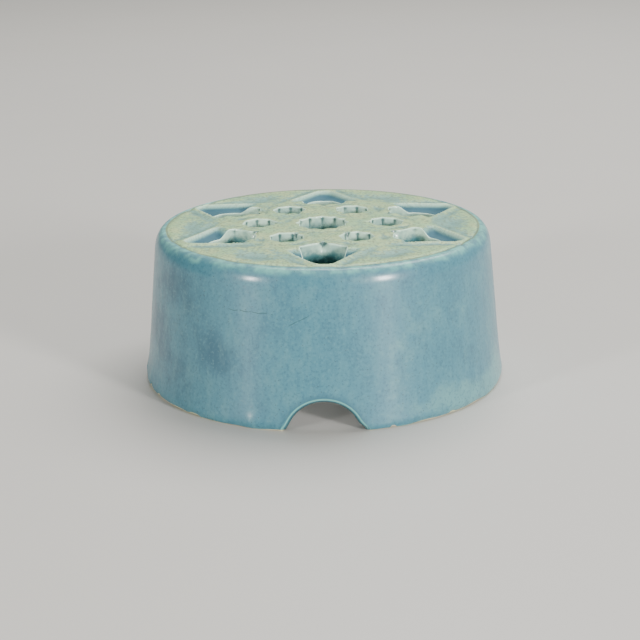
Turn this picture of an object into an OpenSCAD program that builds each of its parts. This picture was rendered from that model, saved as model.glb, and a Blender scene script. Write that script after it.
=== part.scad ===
// Flower frog: a low, hollow, one-piece art-pottery drum that stands in a bowl
// and holds cut stems upright in the holes of its pierced top.
// Origin at the centre of the foot, +Z up, the water notch faces -Y.

/* [Body] */
// Outside diameter at the foot
foot_d = 89; // [86:1:96]
// Outside diameter where the wall turns into the shoulder
shoulder_d = 82.3; // [80:0.1:84]
// Height to the crown of the domed top
height = 38; // [36:1:46]
// Rise of the domed top above its rim
dome = 0.9; // [0.6:0.1:2]
// Radius of the rounded shoulder
shoulder_round = 2.4; // [2:0.1:4.5]
// Thickness of the side wall, glazes included
wall_t = 5; // [4:0.1:6]
// Thickness of the pierced top at its rim, glazes included
plate_t = 5.6; // [4.5:0.1:7]

/* [Glaze] */
// Thickness of each coat of glaze
glaze_t = 0.4; // [0.3:0.05:0.6]
// Height above the foot at which the glaze was wiped off
glaze_line = 1.2; // [0.8:0.1:2]

/* [Stem holes] */
// Diameter of the scalloped centre hole
centre_hole_d = 12.8; // [11:0.1:14]
// Flutes around the centre hole
centre_flutes = 12; // [8:1:14]
// Diameter of the small round holes
inner_hole_d = 8.2; // [7:0.1:9]
// Flutes around each small hole
inner_flutes = 8; // [6:1:10]
// Radius of the ring of small holes
inner_ring_r = 15.6; // [15:0.1:16.5]
// Width of the heart-shaped holes
outer_hole_w = 12.2; // [11:0.1:12.6]
// Radius of the ring of heart-shaped holes
outer_ring_r = 25.3; // [25:0.1:26]
// Drop of the arrowhead carved around the point of each heart, below the rim
carving_drop = 0.6; // [0.3:0.1:0.9]

/* [Water notch] */
// Width of the arched notch at the foot
notch_w = 18.4; // [14:0.2:22]
// Height of the arched notch
notch_h = 8; // [6:0.2:9]

/* [Hidden] */
$fn = 144;

clay_colour = [0.87, 0.81, 0.69];
side_colour = [0.36, 0.54, 0.62];
top_colour = [0.58, 0.62, 0.50];
hole_colour = [0.68, 0.84, 0.76];
inside_colour = [0.32, 0.46, 0.48];

foot_r = foot_d / 2;
rim_z = height - dome;
ceiling_z = rim_z - plate_t;
// Centre of the shoulder's arc, where the domed top starts
shoulder_x = shoulder_d / 2 - shoulder_round;
shoulder_z = rim_z - shoulder_round;
// The wall leans in a little, and the top glaze meets the side glaze at the arris
lean = 4;
arris = 84;
// The glazed wall spreads towards the foot
spread = [[0, glaze_line], [0.4, 4], [0.7, 7.5]];
// Radius of the clay where it rolls under to the bare foot
foot_roll = glaze_line;
// Room inside: radius at the foot, radius below the ceiling, and the fillet between
room_foot_r = foot_r - wall_t;
room_top_r = shoulder_d / 2 - wall_t + 0.6;
room_fillet = 4;

notch_r = (notch_h * notch_h + notch_w * notch_w / 4) / (2 * notch_h);
notch_x = 0.3;
notch_start = foot_r - 4 * wall_t;

// The holes were cut by hand: each is nudged off its ring by [x, y], and turned
centre_nudge = [0.3, -0.4];
inner_nudge = [[0.4, 0.3], [0.1, -0.2], [-0.2, 0.2], [0.5, 0.7], [-0.4, 0.1], [0.6, 0]];
outer_nudge = [[1.3, -0.2], [0.9, 0.1], [0.4, 1.9], [0.2, 2], [0.4, 0.2], [1.3, 0.6]];
outer_turn = [-1, 0, -1, -2, 0, 1];
outer_first = 30;
ring_step = 60;
// Depth of the flutes cut into the walls of the round holes
centre_flute_t = 0.7;
inner_flute_t = 0.4;
points_per_flute = 6;
heart_points = 48;
dome_steps = 8;

function reversed(p) = [for (i = [len(p) - 1:-1:0]) p[i]];

function arc(x, z, r, from, to, n) =
    [for (i = [0:n]) let (a = from + (to - from) * i / n) [x + r * cos(a), z + r * sin(a)]];

// Outside of the drum from the glaze line to the arris, set in by i
function side_profile(i) = concat(
    [for (p = spread) [foot_r - p[0] - i, p[1]]],
    arc(shoulder_x, shoulder_z, shoulder_round - i, lean, arris, 12)
);

// Outside of the drum from the arris over the dome to the axis, set in by i
function top_profile(i) = concat(
    arc(shoulder_x, shoulder_z, shoulder_round - i, arris, 90, 1),
    [for (k = [1:dome_steps]) let (f = 1 - k / dome_steps)
        [shoulder_x * f, rim_z + dome * (1 - f * f) - i]]
);

// Inside of the drum from height z at the foot to the axis, set out by i
function room_profile(i, z) = concat(
    [[room_foot_r - (room_foot_r - room_top_r) * z / (ceiling_z - room_fillet) + i, z]],
    arc(room_top_r - room_fillet, ceiling_z - room_fillet, room_fillet + i, 0, 90, 8),
    [[0, ceiling_z + i]]
);

// Round outline of radius r with n V-shaped flutes of depth t cut outwards into the wall
function fluted(r, t, n) =
    [for (k = [0:n * points_per_flute - 1]) let (a = 360 * k / (n * points_per_flute))
        (r - t * pow(abs(sin(n * a / 2)), 0.8)) * [cos(a), sin(a)]];

// Sides of the heart: [direction they face, distance from the middle] for a heart of half-width w
function heart_sides(w) = [
    [180, 1.02 * w], [90, w], [-90, w], [57, 0.88 * w], [-57, 0.88 * w],
    [136, 1.14 * w], [-136, 1.14 * w], [0, 0.98 * w]
];

// Soft-cornered heart with its blunt point along +X: each side pushes the outline in
function heart(w) =
    let (sharp = 9)
    [for (k = [0:heart_points - 1]) let (
        a = 360 * k / heart_points,
        push = [for (s = heart_sides(w)) pow(max(0, cos(a - s[0])) / s[1], sharp)],
        r = pow([for (p = push) 1] * push, -1 / sharp)
    ) r * [cos(a), sin(a)]];

// Arrowhead around the heart's point: a blunt tip along +X and two arms that taper back past its sides
function arrowhead(w) = [
    [1.35 * w, 0.4 * w], [-0.2 * w, 1.35 * w], [0.4 * w, 0.8 * w], [0, 0],
    [0.4 * w, -0.8 * w], [-0.2 * w, -1.35 * w], [1.35 * w, -0.4 * w]
];

// Places [x, y] and turns of the holes in both rings
function inner_place(k) = inner_ring_r * [cos(ring_step * k), sin(ring_step * k)] + inner_nudge[k];
function inner_angle(k) = ring_step * k;
function outer_place(k) =
    let (a = outer_first + ring_step * k) outer_ring_r * [cos(a), sin(a)] + outer_nudge[k];
function outer_angle(k) = outer_first + ring_step * k + outer_turn[k];

// Outlines of the glazed holes, grown by g to reach the clay
function centre_outline(g) = fluted(centre_hole_d / 2 + g, centre_flute_t, centre_flutes);
function inner_outline(g) = fluted(inner_hole_d / 2 + g, inner_flute_t, inner_flutes);
function outer_outline(g) = heart(outer_hole_w / 2 + g);

// A straight cut from height z up through the pierced top
module cut_from(z, place, turn, outline) {
    translate([place[0], place[1], z])
        rotate(turn)
            linear_extrude(height = height + 1 - z)
                polygon(outline);
}

module stem_cut(place, turn, outline) {
    cut_from(ceiling_z - 1, place, turn, outline);
}

// The six carved arrowheads, grown and deepened by g
module carvings(g) {
    for (k = [0:5])
        cut_from(
            rim_z - carving_drop - g, outer_place(k), outer_angle(k),
            arrowhead(outer_hole_w / 2 + g)
        );
}

// Everything under the glazed dome
module under_dome(z) {
    rotate_extrude()
        polygon(concat([[0, z], [shoulder_x, z]], top_profile(0)));
}

// All thirteen cuts, at the size of the clay
module stem_cuts() {
    stem_cut(centre_nudge, 0, centre_outline(glaze_t));
    for (k = [0:5]) {
        stem_cut(inner_place(k), inner_angle(k), inner_outline(glaze_t));
        stem_cut(outer_place(k), outer_angle(k), outer_outline(glaze_t));
    }
}

// Round tunnel through the front wall that makes the arch
module notch_tunnel(r) {
    translate([notch_x, -notch_start, notch_h - notch_r])
        rotate([90, 0, 0])
            cylinder(r = r, h = foot_r - notch_start + 1);
}

// The glaze that lines one hole, from the ceiling's glaze to the top's
module lining(place, turn, clay_outline, glaze_outline) {
    color(hole_colour)
        intersection() {
            under_dome(ceiling_z);
            difference() {
                stem_cut(place, turn, clay_outline);
                stem_cut(place, turn, glaze_outline);
                carvings(0);
            }
        }
}

// One fired shell of cream clay: wall, pierced top and bare foot ring
module clay_body() {
    color(clay_colour)
        difference() {
            rotate_extrude()
                polygon(concat(
                    arc(foot_r - glaze_t - foot_roll, foot_roll, foot_roll, -90, 0, 4),
                    side_profile(glaze_t),
                    top_profile(glaze_t),
                    reversed(room_profile(glaze_t, 0))
                ));
            notch_tunnel(notch_r + glaze_t);
            carvings(glaze_t);
            stem_cuts();
        }
}

// Blue coat over the wall and shoulder, turning in through the notch
module side_glaze() {
    color(side_colour) {
        difference() {
            rotate_extrude()
                polygon(concat(side_profile(0), reversed(side_profile(glaze_t))));
            notch_tunnel(notch_r);
        }
        intersection() {
            rotate_extrude()
                polygon(concat(side_profile(glaze_t), reversed(room_profile(glaze_t, glaze_line))));
            difference() {
                notch_tunnel(notch_r + glaze_t);
                notch_tunnel(notch_r);
            }
        }
    }
}

// Green coat over the domed top and into its carvings
module top_glaze() {
    color(top_colour)
        difference() {
            union() {
                rotate_extrude()
                    polygon(concat(top_profile(0), reversed(top_profile(glaze_t))));
                intersection() {
                    under_dome(ceiling_z);
                    carvings(glaze_t);
                }
            }
            carvings(0);
            stem_cuts();
        }
}

// Coat on the ceiling and wall of the hollow inside
module inner_glaze() {
    color(inside_colour)
        difference() {
            rotate_extrude()
                polygon(concat(
                    room_profile(glaze_t, glaze_line),
                    reversed(room_profile(0, glaze_line))
                ));
            notch_tunnel(notch_r);
            stem_cuts();
        }
}

module centre_hole_glaze() {
    lining(centre_nudge, 0, centre_outline(glaze_t), centre_outline(0));
}

module inner_hole_glaze(k) {
    lining(inner_place(k), inner_angle(k), inner_outline(glaze_t), inner_outline(0));
}

module outer_hole_glaze(k) {
    lining(outer_place(k), outer_angle(k), outer_outline(glaze_t), outer_outline(0));
}

clay_body();
side_glaze();
top_glaze();
inner_glaze();
centre_hole_glaze();
inner_hole_glaze(0);  // inner_hole_glaze_1
inner_hole_glaze(1);  // inner_hole_glaze_2
inner_hole_glaze(2);  // inner_hole_glaze_3
inner_hole_glaze(3);  // inner_hole_glaze_4
inner_hole_glaze(4);  // inner_hole_glaze_5
inner_hole_glaze(5);  // inner_hole_glaze_6
outer_hole_glaze(0);  // outer_hole_glaze_1
outer_hole_glaze(1);  // outer_hole_glaze_2
outer_hole_glaze(2);  // outer_hole_glaze_3
outer_hole_glaze(3);  // outer_hole_glaze_4
outer_hole_glaze(4);  // outer_hole_glaze_5
outer_hole_glaze(5);  // outer_hole_glaze_6
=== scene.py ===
"""A glazed pottery flower frog: one cast clay shell and the coats of glaze fused to it.

Every surface comes from one closed skin of the whole frog, worked out in millimetres: cells of the pierced
top around each hole, the throats of the holes, the leaning wall with its arched notch, the foot, and the room
inside. The clay is that skin set in by the glaze's thickness, and each coat is its part of the skin with that
same thickness behind it.
"""

import functools
from types import SimpleNamespace

import bpy
import numpy as np
from bpy.props import FloatProperty, FloatVectorProperty, PointerProperty
from mathutils import Euler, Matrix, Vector


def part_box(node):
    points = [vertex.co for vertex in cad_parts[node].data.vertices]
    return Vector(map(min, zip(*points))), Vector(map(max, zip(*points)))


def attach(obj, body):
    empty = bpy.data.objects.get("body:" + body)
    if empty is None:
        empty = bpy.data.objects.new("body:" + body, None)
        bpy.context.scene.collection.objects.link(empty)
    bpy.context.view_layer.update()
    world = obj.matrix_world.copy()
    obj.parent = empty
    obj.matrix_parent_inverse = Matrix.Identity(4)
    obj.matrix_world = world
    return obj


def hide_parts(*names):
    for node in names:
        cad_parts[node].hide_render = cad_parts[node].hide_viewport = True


bl_info = {
    "name": "Flower frog",
    "version": (1, 0, 0),
    "blender": (4, 5, 0),
    "location": "3D View > Sidebar > Flower frog",
    "description": "Builds the glaze, the clay and the stage of a pottery flower frog",
    "category": "Object",
}

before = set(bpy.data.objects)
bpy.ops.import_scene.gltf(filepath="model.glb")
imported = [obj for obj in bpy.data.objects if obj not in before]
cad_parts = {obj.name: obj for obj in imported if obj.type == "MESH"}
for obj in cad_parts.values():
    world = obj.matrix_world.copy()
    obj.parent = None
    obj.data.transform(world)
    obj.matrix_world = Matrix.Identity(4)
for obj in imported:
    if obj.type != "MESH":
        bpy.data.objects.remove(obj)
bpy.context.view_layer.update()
MM = 0.001

HEART_TURNS = (29, 90, 149, 208, 270, 331)
# how far the drawn holes stand to the left of the CAD's, in mm
HOLE_SHIFT = (0.3, 0)
INNER_HOLES = ["inner_hole_glaze_%d" % k for k in range(1, 7)]
OUTER_HOLES = ["outer_hole_glaze_%d" % k for k in range(1, 7)]
HOLES = ["centre_hole_glaze"] + INNER_HOLES + OUTER_HOLES
TOP, SIDE, FOOT, ROOM = 100, 101, 102, 103


def node_box(name):
    """Lowest and highest corners of a CAD node, in millimetres."""
    low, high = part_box(name)
    return np.array(low) / MM, np.array(high) / MM


# ------------------------------------------------------------ settings


def length(name, description, value):
    """A length setting, from its value in millimetres."""
    return FloatProperty(name=name, description=description, default=value * MM, unit="LENGTH")


def lamp_power(name, description, value):
    """A lamp's power setting, in watts."""
    return FloatProperty(name=name, description=description, default=value, unit="POWER")


def colour(name, description, value):
    """A colour setting."""
    return FloatVectorProperty(
        name=name, description=description, default=value, size=3, min=0, max=1, subtype="COLOR"
    )


class FROG_PG_form(bpy.types.PropertyGroup):
    """Sizes of the glazed frog."""

    glaze_t: length("Glaze thickness", "Thickness of each coat", 0.36)
    glaze_line: length("Glaze line", "Height at which the glaze was wiped off the foot", 0.32)
    centre_hole_d: length("Centre hole", "Diameter of the scalloped centre hole", 12.8)
    inner_hole_d: length("Small holes", "Diameter of the six fluted holes", 8.2)
    outer_hole_w: length("Heart holes", "Width of the six heart-shaped holes", 12.2)
    lip: length("Lip", "Radius of the rolled lip around each hole", 0.22)
    carving: length("Carving", "Depth of the arrowhead carved around each heart", 1.9)
    notch_w: length("Notch width", "Width of the water notch at the foot", 16.7)
    notch_h: length("Notch height", "Height of the water notch", 7.1)


class FROG_PG_glaze(bpy.types.PropertyGroup):
    """Colours of the clay and its glazes."""

    blue: colour("Blue", "Main colour of the side", (0.068, 0.222, 0.283))
    # This colour also paints shade: a band round the notch's arch, and the glaze inside the room.
    deep_blue: colour("Deep blue", "Where the side's glaze lies thick", (0.034, 0.115, 0.17))
    sea: colour("Sea green", "Paler, greener patches of the side", (0.15, 0.35, 0.36))
    olive: colour("Olive", "Raised parts of the top", (0.40, 0.63, 0.33))
    grey_blue: colour("Grey blue", "Hollows of the top", (0.25, 0.46, 0.38))
    # This colour also paints part of a highlight along the arrowheads' arms on the top.
    mint: colour("Mint", "Where glaze breaks thin over an edge", (0.68, 0.95, 0.74))
    cyan: colour("Cyan", "Bead at the rim and the notch's edge", (0.21, 0.56, 0.49))
    # This colour also paints shade: in the holes' grooves and nicks, deep down their throats, and inside the
    # notch.
    pool: colour("Pool", "Where glaze pools in the holes", (0.03, 0.10, 0.11))
    clay: colour("Clay", "Bare fired clay", (0.70, 0.58, 0.42))
    tan: colour("Tan", "Where the top's glaze turns brown", (0.54, 0.66, 0.33))
    # This colour also paints shade along the groove of the ring within the rim.
    moss: colour("Moss", "Dark green grains of the top", (0.17, 0.24, 0.15))
    speck: colour("Speck", "Iron specks in the glaze", (0.04, 0.05, 0.05))


class FROG_PG_stage(bpy.types.PropertyGroup):
    """Floor, light and camera."""

    floor: colour("Floor", "Colour of the floor", (0.62, 0.59, 0.55))
    distance: length("Distance", "From the camera to its aim", 400)
    elevation: FloatProperty(
        name="Elevation", description="Angle of the camera above the floor", default=np.radians(17.73),
        subtype="ANGLE",
    )
    lens: FloatProperty(name="Lens", description="Focal length in millimetres", default=90.2)
    roll: FloatProperty(
        name="Roll", description="Turn of the camera about its line of sight", default=np.radians(0.89),
        subtype="ANGLE",
    )
    left_power: lamp_power("Left lamp", "Power of the left lamp", 4.3)
    right_power: lamp_power("Right lamp", "Power of the right lamp", 8.3)
    top_power: lamp_power("Upper lamp", "Power of the lamp above and behind", 16.0)
    sky: FloatProperty(name="Sky", description="Strength of the even light", default=0.38)


def sizes():
    """The form's settings in millimetres, with what the frame gives."""
    form = bpy.context.scene.frog_form
    s = {key: getattr(form, key) / MM for key in FROG_PG_form.__annotations__}
    low, high = node_box("side_glaze")
    s["foot_r"] = (high[0] - low[0]) / 2
    s["height"] = node_box("top_glaze")[1][2]
    s["arris_r"] = (node_box("top_glaze")[1][0] - node_box("top_glaze")[0][0]) / 2
    s["arris_z"] = high[2]
    s["ceiling_z"] = node_box("centre_hole_glaze")[0][2]
    room_low, room_high = node_box("inner_glaze")
    room_foot = (room_high[0] - room_low[0]) / 2 - s["glaze_t"]
    s["room_r"] = room_foot - 0.1 * (s["ceiling_z"] - 4 - s["glaze_line"])
    return s


# ------------------------------------------------------------ outlines


def ease(x, low, high):
    """0 below low, 1 above high, and a smooth S between them; low may be the larger."""
    t = np.clip((x - low) / (high - low), 0, 1)
    return t * t * (3 - 2 * t)


def bump(x, middle, width):
    """A bell of height 1 around middle."""
    return np.exp(-(((x - middle) / width) ** 2))


def turned(t):
    """An angle brought between -pi and pi."""
    return (t + np.pi) % (2 * np.pi) - np.pi


def heart(t, w, blunt=0.78):
    """A soft-cornered heart: each side at its distance pushes the outline in, summed as a ninth power."""
    sides = [(180, 1.02), (90, 1), (-90, 1), (57, blunt), (-57, blunt), (136, 1.14), (-136, 1.14), (0, 0.98)]
    push = sum(np.maximum(0, np.cos(t - np.radians(a))) ** 9 / (d * w) ** 9 for a, d in sides)
    return push ** (-1 / 9)


class Hole:
    """One stem hole: its middle, its turn, and its outline as a radius over the direction."""

    def __init__(self, name, kind, turn, s):
        self.kind, self.turn = kind, np.radians(turn)
        low, high = node_box(name)
        self.middle = (low + high)[:2] / 2 - HOLE_SHIFT
        self.s = s
        if kind == "heart":
            t = np.linspace(0, 2 * np.pi, 361)
            edge = polar(heart(t - self.turn, s["outer_hole_w"] / 2, 0.88), t)
            self.middle = self.middle - (edge.min(0) + edge.max(0)) / 2

    def nick(self, t):
        """How deep direction t lies in the V nick that points at the plate's middle, from 0 to 1."""
        if self.kind == "centre":
            return 0 * t
        inward = np.arctan2(-self.middle[1], -self.middle[0])
        half = {"small": 0.2, "heart": 0.22}[self.kind]
        return np.maximum(0, 1 - np.abs(turned(t - inward)) / half)

    def groove(self, t):
        """How deep direction t lies between two ridges of the wall, from 0 on a ridge to 1."""
        local = turned(t - self.turn)
        if self.kind == "heart":
            lobes = np.abs(np.sin(3.2 * (np.pi - np.abs(local)))) ** 0.7
            return 0.7 * (1 - lobes) * ease(np.abs(local), 1.2, 1.9)
        return 1 - np.abs(np.sin({"centre": 6, "small": 4}[self.kind] * local)) ** 0.8

    def radius(self, t, drop=0):
        """Outline's radius in direction t at a drop below the rim: ridges that fade further down, and the V
        nick that runs out within two millimetres."""
        s, fade = self.s, 1 - 0.7 * ease(drop, 0.8, 4.5)
        ridge = fade * (1 - self.groove(t))
        cut = max(0, 1 - drop / 1.9) * self.nick(t)
        if self.kind == "centre":
            return s["centre_hole_d"] / 2 + 0.1 - 0.85 * ridge
        if self.kind == "small":
            return s["inner_hole_d"] / 2 + 0.1 + 0.5 * cut - 0.5 * ridge
        lobes = ease(np.abs(turned(t - self.turn)), 0.9, 1.7)
        return heart(t - self.turn, s["outer_hole_w"] / 2) + 0.15 + 1.5 * cut - 0.85 * ridge * lobes


@functools.lru_cache(maxsize=None)
def holes():
    """All thirteen holes: the centre, the ring of small ones, the ring of hearts."""
    s = sizes()
    ring = [Hole(n, "small", 60 * k + 11, s) for k, n in enumerate(INNER_HOLES)]
    hearts = [Hole(n, "heart", a, s) for n, a in zip(OUTER_HOLES, HEART_TURNS)]
    return [Hole(HOLES[0], "centre", 90, s)] + ring + hearts


# ------------------------------------------------------------ the top


def arms(x, y, hole):
    """Place of a point by a heart's carved arrowhead: how far inside its two arms and blunt tip, how strongly
    the arms reach there, and its own axes along and across the heart. The arrowheads at the sides are pressed
    a little outwards and towards the back."""
    dx = x - hole.middle[0] - 0.7 * np.cos(hole.turn)
    dy = y - hole.middle[1] - 1.3 * np.abs(np.cos(hole.turn))
    u = dx * np.cos(hole.turn) + dy * np.sin(hole.turn)
    v = -dx * np.sin(hole.turn) + dy * np.cos(hole.turn)
    slant = np.radians(59)
    arm = 7.05 - (u * np.cos(slant) + np.abs(v) * np.sin(slant))
    inside = -np.log(np.exp(-2.2 * arm) + np.exp(-2.2 * (11.0 - u))) / 2.2
    return inside, ease(np.abs(v), 9.4, 7.0) * ease(u, -4.0, -1.5), u, v


def arrowhead(x, y, hole, depth):
    """Carving around a heart's point: a slope from the arms down to the throat, with a hollow outside."""
    inside, reach, u, v = arms(x, y, hole)
    slope = depth * (1 - np.exp(-np.maximum(inside, 0) / 1.0)) * reach * ease(u, -2.5, 1.0)
    edge = 0.1 * bump(inside, -0.1, 0.4) * reach
    hollow = 0.3 * bump(inside, -2.0, 1.3) * ease(np.abs(v), 1.5, 4.0) * ease(u, -5, 0)
    return edge - slope - hollow


def ripple(x, y):
    """Slow unevenness of the pressed clay: a few long waves at odd angles, each within 1."""
    waves = [(0.31, 0.12, 0.4), (-0.17, 0.37, 1.9), (0.43, -0.29, 4.1)]
    return sum(np.sin(a * x + b * y + c) for a, b, c in waves) / 3


def rim_place(x, y):
    """How far a point lies outside the fine ring pressed within the rim, which sits a little to the back."""
    return np.hypot(x, y - 0.75) - 38.05


def relief(x, y):
    """Height of the pressed pattern above the plain dome."""
    s = sizes_once()
    r = np.hypot(x, y)
    a = np.arctan2(y, x)
    ring = rim_place(x, y)
    h = 0.1 * ripple(x, y) + 0.1 * bump(ring, -1.2, 0.7)
    h = h - 0.26 * bump(ring, 0, 0.28) + 0.1 * bump(ring, 0.6, 0.4)
    # six shallow hollows near the rim, between the hearts
    across = np.abs((a * 3 / np.pi + 0.5) % 1 - 0.5) * np.pi / 3 * r
    h = h - 0.55 * bump(r, 31.8, 2.6) * bump(across, 0, 5.2)
    # shallow hollows on both sides of each spoke that runs out to a heart
    spoke = np.abs((a * 3 / np.pi) % 1 - 0.5) * np.pi / 3 * r
    h = h - 0.22 * bump(r, 20.6, 1.6) * bump(spoke, 5.0, 2.2)
    for hole in holes():
        dx, dy = x - hole.middle[0], y - hole.middle[1]
        t = np.arctan2(dy, dx)
        gap = np.hypot(dx, dy) - hole.radius(t, 1.9)
        h = h + 0.06 * bump(gap, 1.0, 0.7) - 0.05 * bump(gap, 2.6, 0.8)
        h = h - 0.25 * hole.nick(t) * ease(gap, 2.4, 0.8)
        if hole.kind == "heart":
            h = h + arrowhead(x, y, hole, s["carving"])
    return h


def top_height(x, y):
    """Height of the glazed top: a shallow dome over the rim, plus its pressed pattern."""
    s = sizes_once()
    dome = s["height"] - s["arris_z"] - 0.08
    r = np.hypot(x, y) / s["arris_r"]
    rise = dome * (1 - r**2)
    pattern = relief(x, y) * ease(r, 1.0, 0.985)
    return np.minimum(s["arris_z"] + rise + pattern, s["height"] - 0.01)


@functools.lru_cache(maxsize=None)
def sizes_once():
    """The sizes, read once."""
    return sizes()


# ------------------------------------------------------------ grids, welding


def grid(points, closed, label):
    """Quads of a grid of points (rows, columns, 3), closed around its columns or open, with a label."""
    rows, cols = points.shape[:2]
    last = cols if closed else cols - 1
    i, j = np.meshgrid(np.arange(rows - 1), np.arange(last), indexing="ij")
    k = (j + 1) % cols
    quads = np.stack([i * cols + j, i * cols + k, (i + 1) * cols + k, (i + 1) * cols + j], -1).reshape(-1, 4)
    return points.reshape(-1, 3), quads, np.full(len(quads), label)


def weld(parts):
    """Joins grids: points closer than a micrometre become one."""
    points = np.concatenate([p for p, _, _ in parts])
    starts = np.cumsum([0] + [len(p) for p, _, _ in parts[:-1]])
    faces = np.concatenate([f + n for (_, f, _), n in zip(parts, starts)])
    labels = np.concatenate([label for _, _, label in parts])
    keys = np.floor(points / 0.001 + 0.382).astype(np.int64)
    _, first, back = np.unique(keys, axis=0, return_index=True, return_inverse=True)
    return points[first], back.reshape(-1)[faces], labels


def face_normals(points, faces):
    """Area-weighted normals of quads: half the cross product of the diagonals."""
    a, b, c, d = (points[faces[:, k]] for k in range(4))
    return np.cross(c - a, d - b) / 2


def point_normals(points, faces):
    """Unit normals at points: the sum of the faces' area-weighted normals."""
    total = np.zeros_like(points)
    n = face_normals(points, faces)
    for k in range(4):
        np.add.at(total, faces[:, k], n)
    return total / np.maximum(np.linalg.norm(total, axis=1, keepdims=True), 1e-12)


def line(a, b, n):
    """n + 1 evenly spaced points from a to b."""
    t = np.linspace(0, 1, n + 1)[:, None]
    return a * (1 - t) + b * t


def polar(r, t):
    """Points at radius r in direction t."""
    return np.stack([r * np.cos(t), r * np.sin(t)], -1)


# ------------------------------------------------------------ cells


def cell_edges(rim_r):
    """Closed boundary of each hole's cell of a disc of radius rim_r, in the order of holes().

    It runs counter-clockwise. Corners are weighted middles of the neighbouring holes, and neighbours
    share their edges' points."""
    middles = [h.middle for h in holes()]
    centre, small, hearts = middles[0], middles[1:7], middles[7:]
    a = [(centre + small[k] + small[(k + 1) % 6]) / 3 for k in range(6)]
    b = [0.385 * small[k] + 0.385 * small[(k + 1) % 6] + 0.23 * hearts[k] for k in range(6)]
    c = [1.09 * (hearts[k - 1] + hearts[k]) / 2 for k in range(6)]
    d = [polar(rim_r, np.radians(60 * k)) for k in range(6)]
    aa = [line(a[k - 1], a[k], 20) for k in range(6)]
    ab = [line(a[k], b[k], 16) for k in range(6)]
    cb = [line(c[k], b[k], 20) for k in range(6)]
    bc = [line(b[k], c[(k + 1) % 6], 20) for k in range(6)]
    cd = [line(c[k], d[k], 22) for k in range(6)]
    arc = [polar(rim_r, np.radians(60 * k + np.linspace(0, 60, 81))) for k in range(6)]
    cells = [np.concatenate([aa[k][:-1] for k in range(6)])]
    for k in range(6):
        j = (k - 1) % 6
        runs = [aa[k][::-1], ab[j], bc[j], cb[k], ab[k][::-1]]
        cells.append(np.concatenate([run[:-1] for run in runs]))
    for k in range(6):
        n = (k + 1) % 6
        runs = [bc[k][::-1], cb[k][::-1], cd[k], arc[k], cd[n][::-1]]
        cells.append(np.concatenate([run[:-1] for run in runs]))
    return cells


def cell_rows(hole, edge, start, steps, power):
    """Rows of points from a hole's outline grown by start to its cell's edge, closer near the hole."""
    d = edge - hole.middle
    t = np.arctan2(d[:, 1], d[:, 0])
    far = np.hypot(d[:, 0], d[:, 1])
    near = hole.radius(t) + start
    f = np.linspace(0, 1, steps + 1)[:, None] ** power
    r = near * (1 - f) + far * f
    rows = hole.middle + polar(r, t)
    rows[-1] = edge
    return rows, t


def with_z(xy, z):
    """Points with their heights."""
    return np.concatenate([xy, np.broadcast_to(z, xy.shape[:-1])[..., None]], -1)


def top_cell(hole, edge, label):
    """The top's cell around one hole, and the hole's throat down to the ceiling.

    The cell runs out from the lip on the height function. The throat rolls over the lip as a quarter
    ellipse, drops with its flutes fading, and rolls out again into the ceiling."""
    s = sizes_once()
    lip = s["lip"]
    steps = {"centre": 10, "small": 12, "heart": 23}[hole.kind]
    rows, t = cell_rows(hole, edge, lip, steps, 1.25)
    plate = with_z(rows, top_height(rows[..., 0], rows[..., 1]))
    start = plate[0]
    roll = np.radians(np.linspace(0, 90, 5))[:, None]
    sharp = hole.radius(t)
    r_roll = sharp + lip * (1 - np.sin(roll))
    z_roll = start[:, 2] - lip * 1.15 * (1 - np.cos(roll))
    low = s["ceiling_z"] + 0.8
    f = (np.linspace(0, 1, 10)[1:, None]) ** 1.35
    z_wall = z_roll[-1] * (1 - f) + low * f
    drops = f[:, 0] * (s["height"] - low - 0.8)
    r_wall = np.stack([hole.radius(t, drop) for drop in drops]) + 0.25 * ease(f, 0.5, 1)
    out = np.radians(np.linspace(0, 90, 5))[1:, None]
    r_out = r_wall[-1] + 0.8 * (1 - np.cos(out))
    z_out = low - 0.8 * np.sin(out) + 0 * t
    r = np.concatenate([r_roll, r_wall, r_out])
    z = np.concatenate([z_roll, z_wall, z_out])
    throat = with_z(hole.middle + polar(r, t), z)
    throat[0] = start
    return [grid(plate[::-1], True, TOP), grid(throat, True, label)], throat[-1]


def room_height(r):
    """Height of the ceiling at radius r: flat, then curving down into the wall of the room."""
    s = sizes_once()
    turn = s["room_r"] - 4
    out = np.clip(r - turn, 0, 3.9)
    return s["ceiling_z"] - (4 - np.sqrt(16 - out**2))


def ceiling_cell(edge, mouth):
    """The ceiling's cell around one hole's mouth, facing down: straight rays from the mouth's points."""
    f = np.linspace(0, 1, 4)[:, None, None] ** 1.2
    rows = mouth[None, :, :2] * (1 - f) + edge[None] * f
    points = with_z(rows, room_height(np.hypot(rows[..., 0], rows[..., 1])))
    points[0] = mouth
    points[-1, :, :2] = edge
    return grid(points, True, ROOM)


# ------------------------------------------------------------ the wall

SECTOR = 22.5
STEP = 0.75
SPLIT_Z = 14.0
LOW_ROWS = 13
SHOULDER_DROP = 4.2
NOTCH_MIDDLE = -0.4
# a circle a little outside the notch's arch: how far its middle lies below the foot, and its radius
NOTCH_CIRCLE_LOW = 1.36
NOTCH_CIRCLE_R = 9.07


def low_levels(low):
    """Heights of the wall's lower rows, from the glaze line up, closer together near the foot."""
    return low + (SPLIT_Z - low) * np.linspace(0, 1, LOW_ROWS + 1) ** 1.6


def wall_radius(z):
    """Outside radius of the wall: a straight lean, a faint belly, a flare and a roll under at the foot."""
    s = sizes_once()
    top = s["arris_z"] - SHOULDER_DROP
    up = top - z
    flare = 0.55 * np.exp(-np.clip(z - 1.6, 0, None) / 4.5)
    roll = 1.5 * (1 - np.sqrt(1 - np.clip((1.6 - z) / 1.8, 0, 1) ** 2))
    return (s["foot_r"] - 3.43) + 0.0878 * up + 0.08 * np.sin(np.pi * np.clip(z / top, 0, 1)) + flare - roll


def room_radius(z):
    """Inside radius of the wall: the same lean, straight."""
    s = sizes_once()
    return s["room_r"] + 0.1 * (s["ceiling_z"] - 4 - z)


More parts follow.
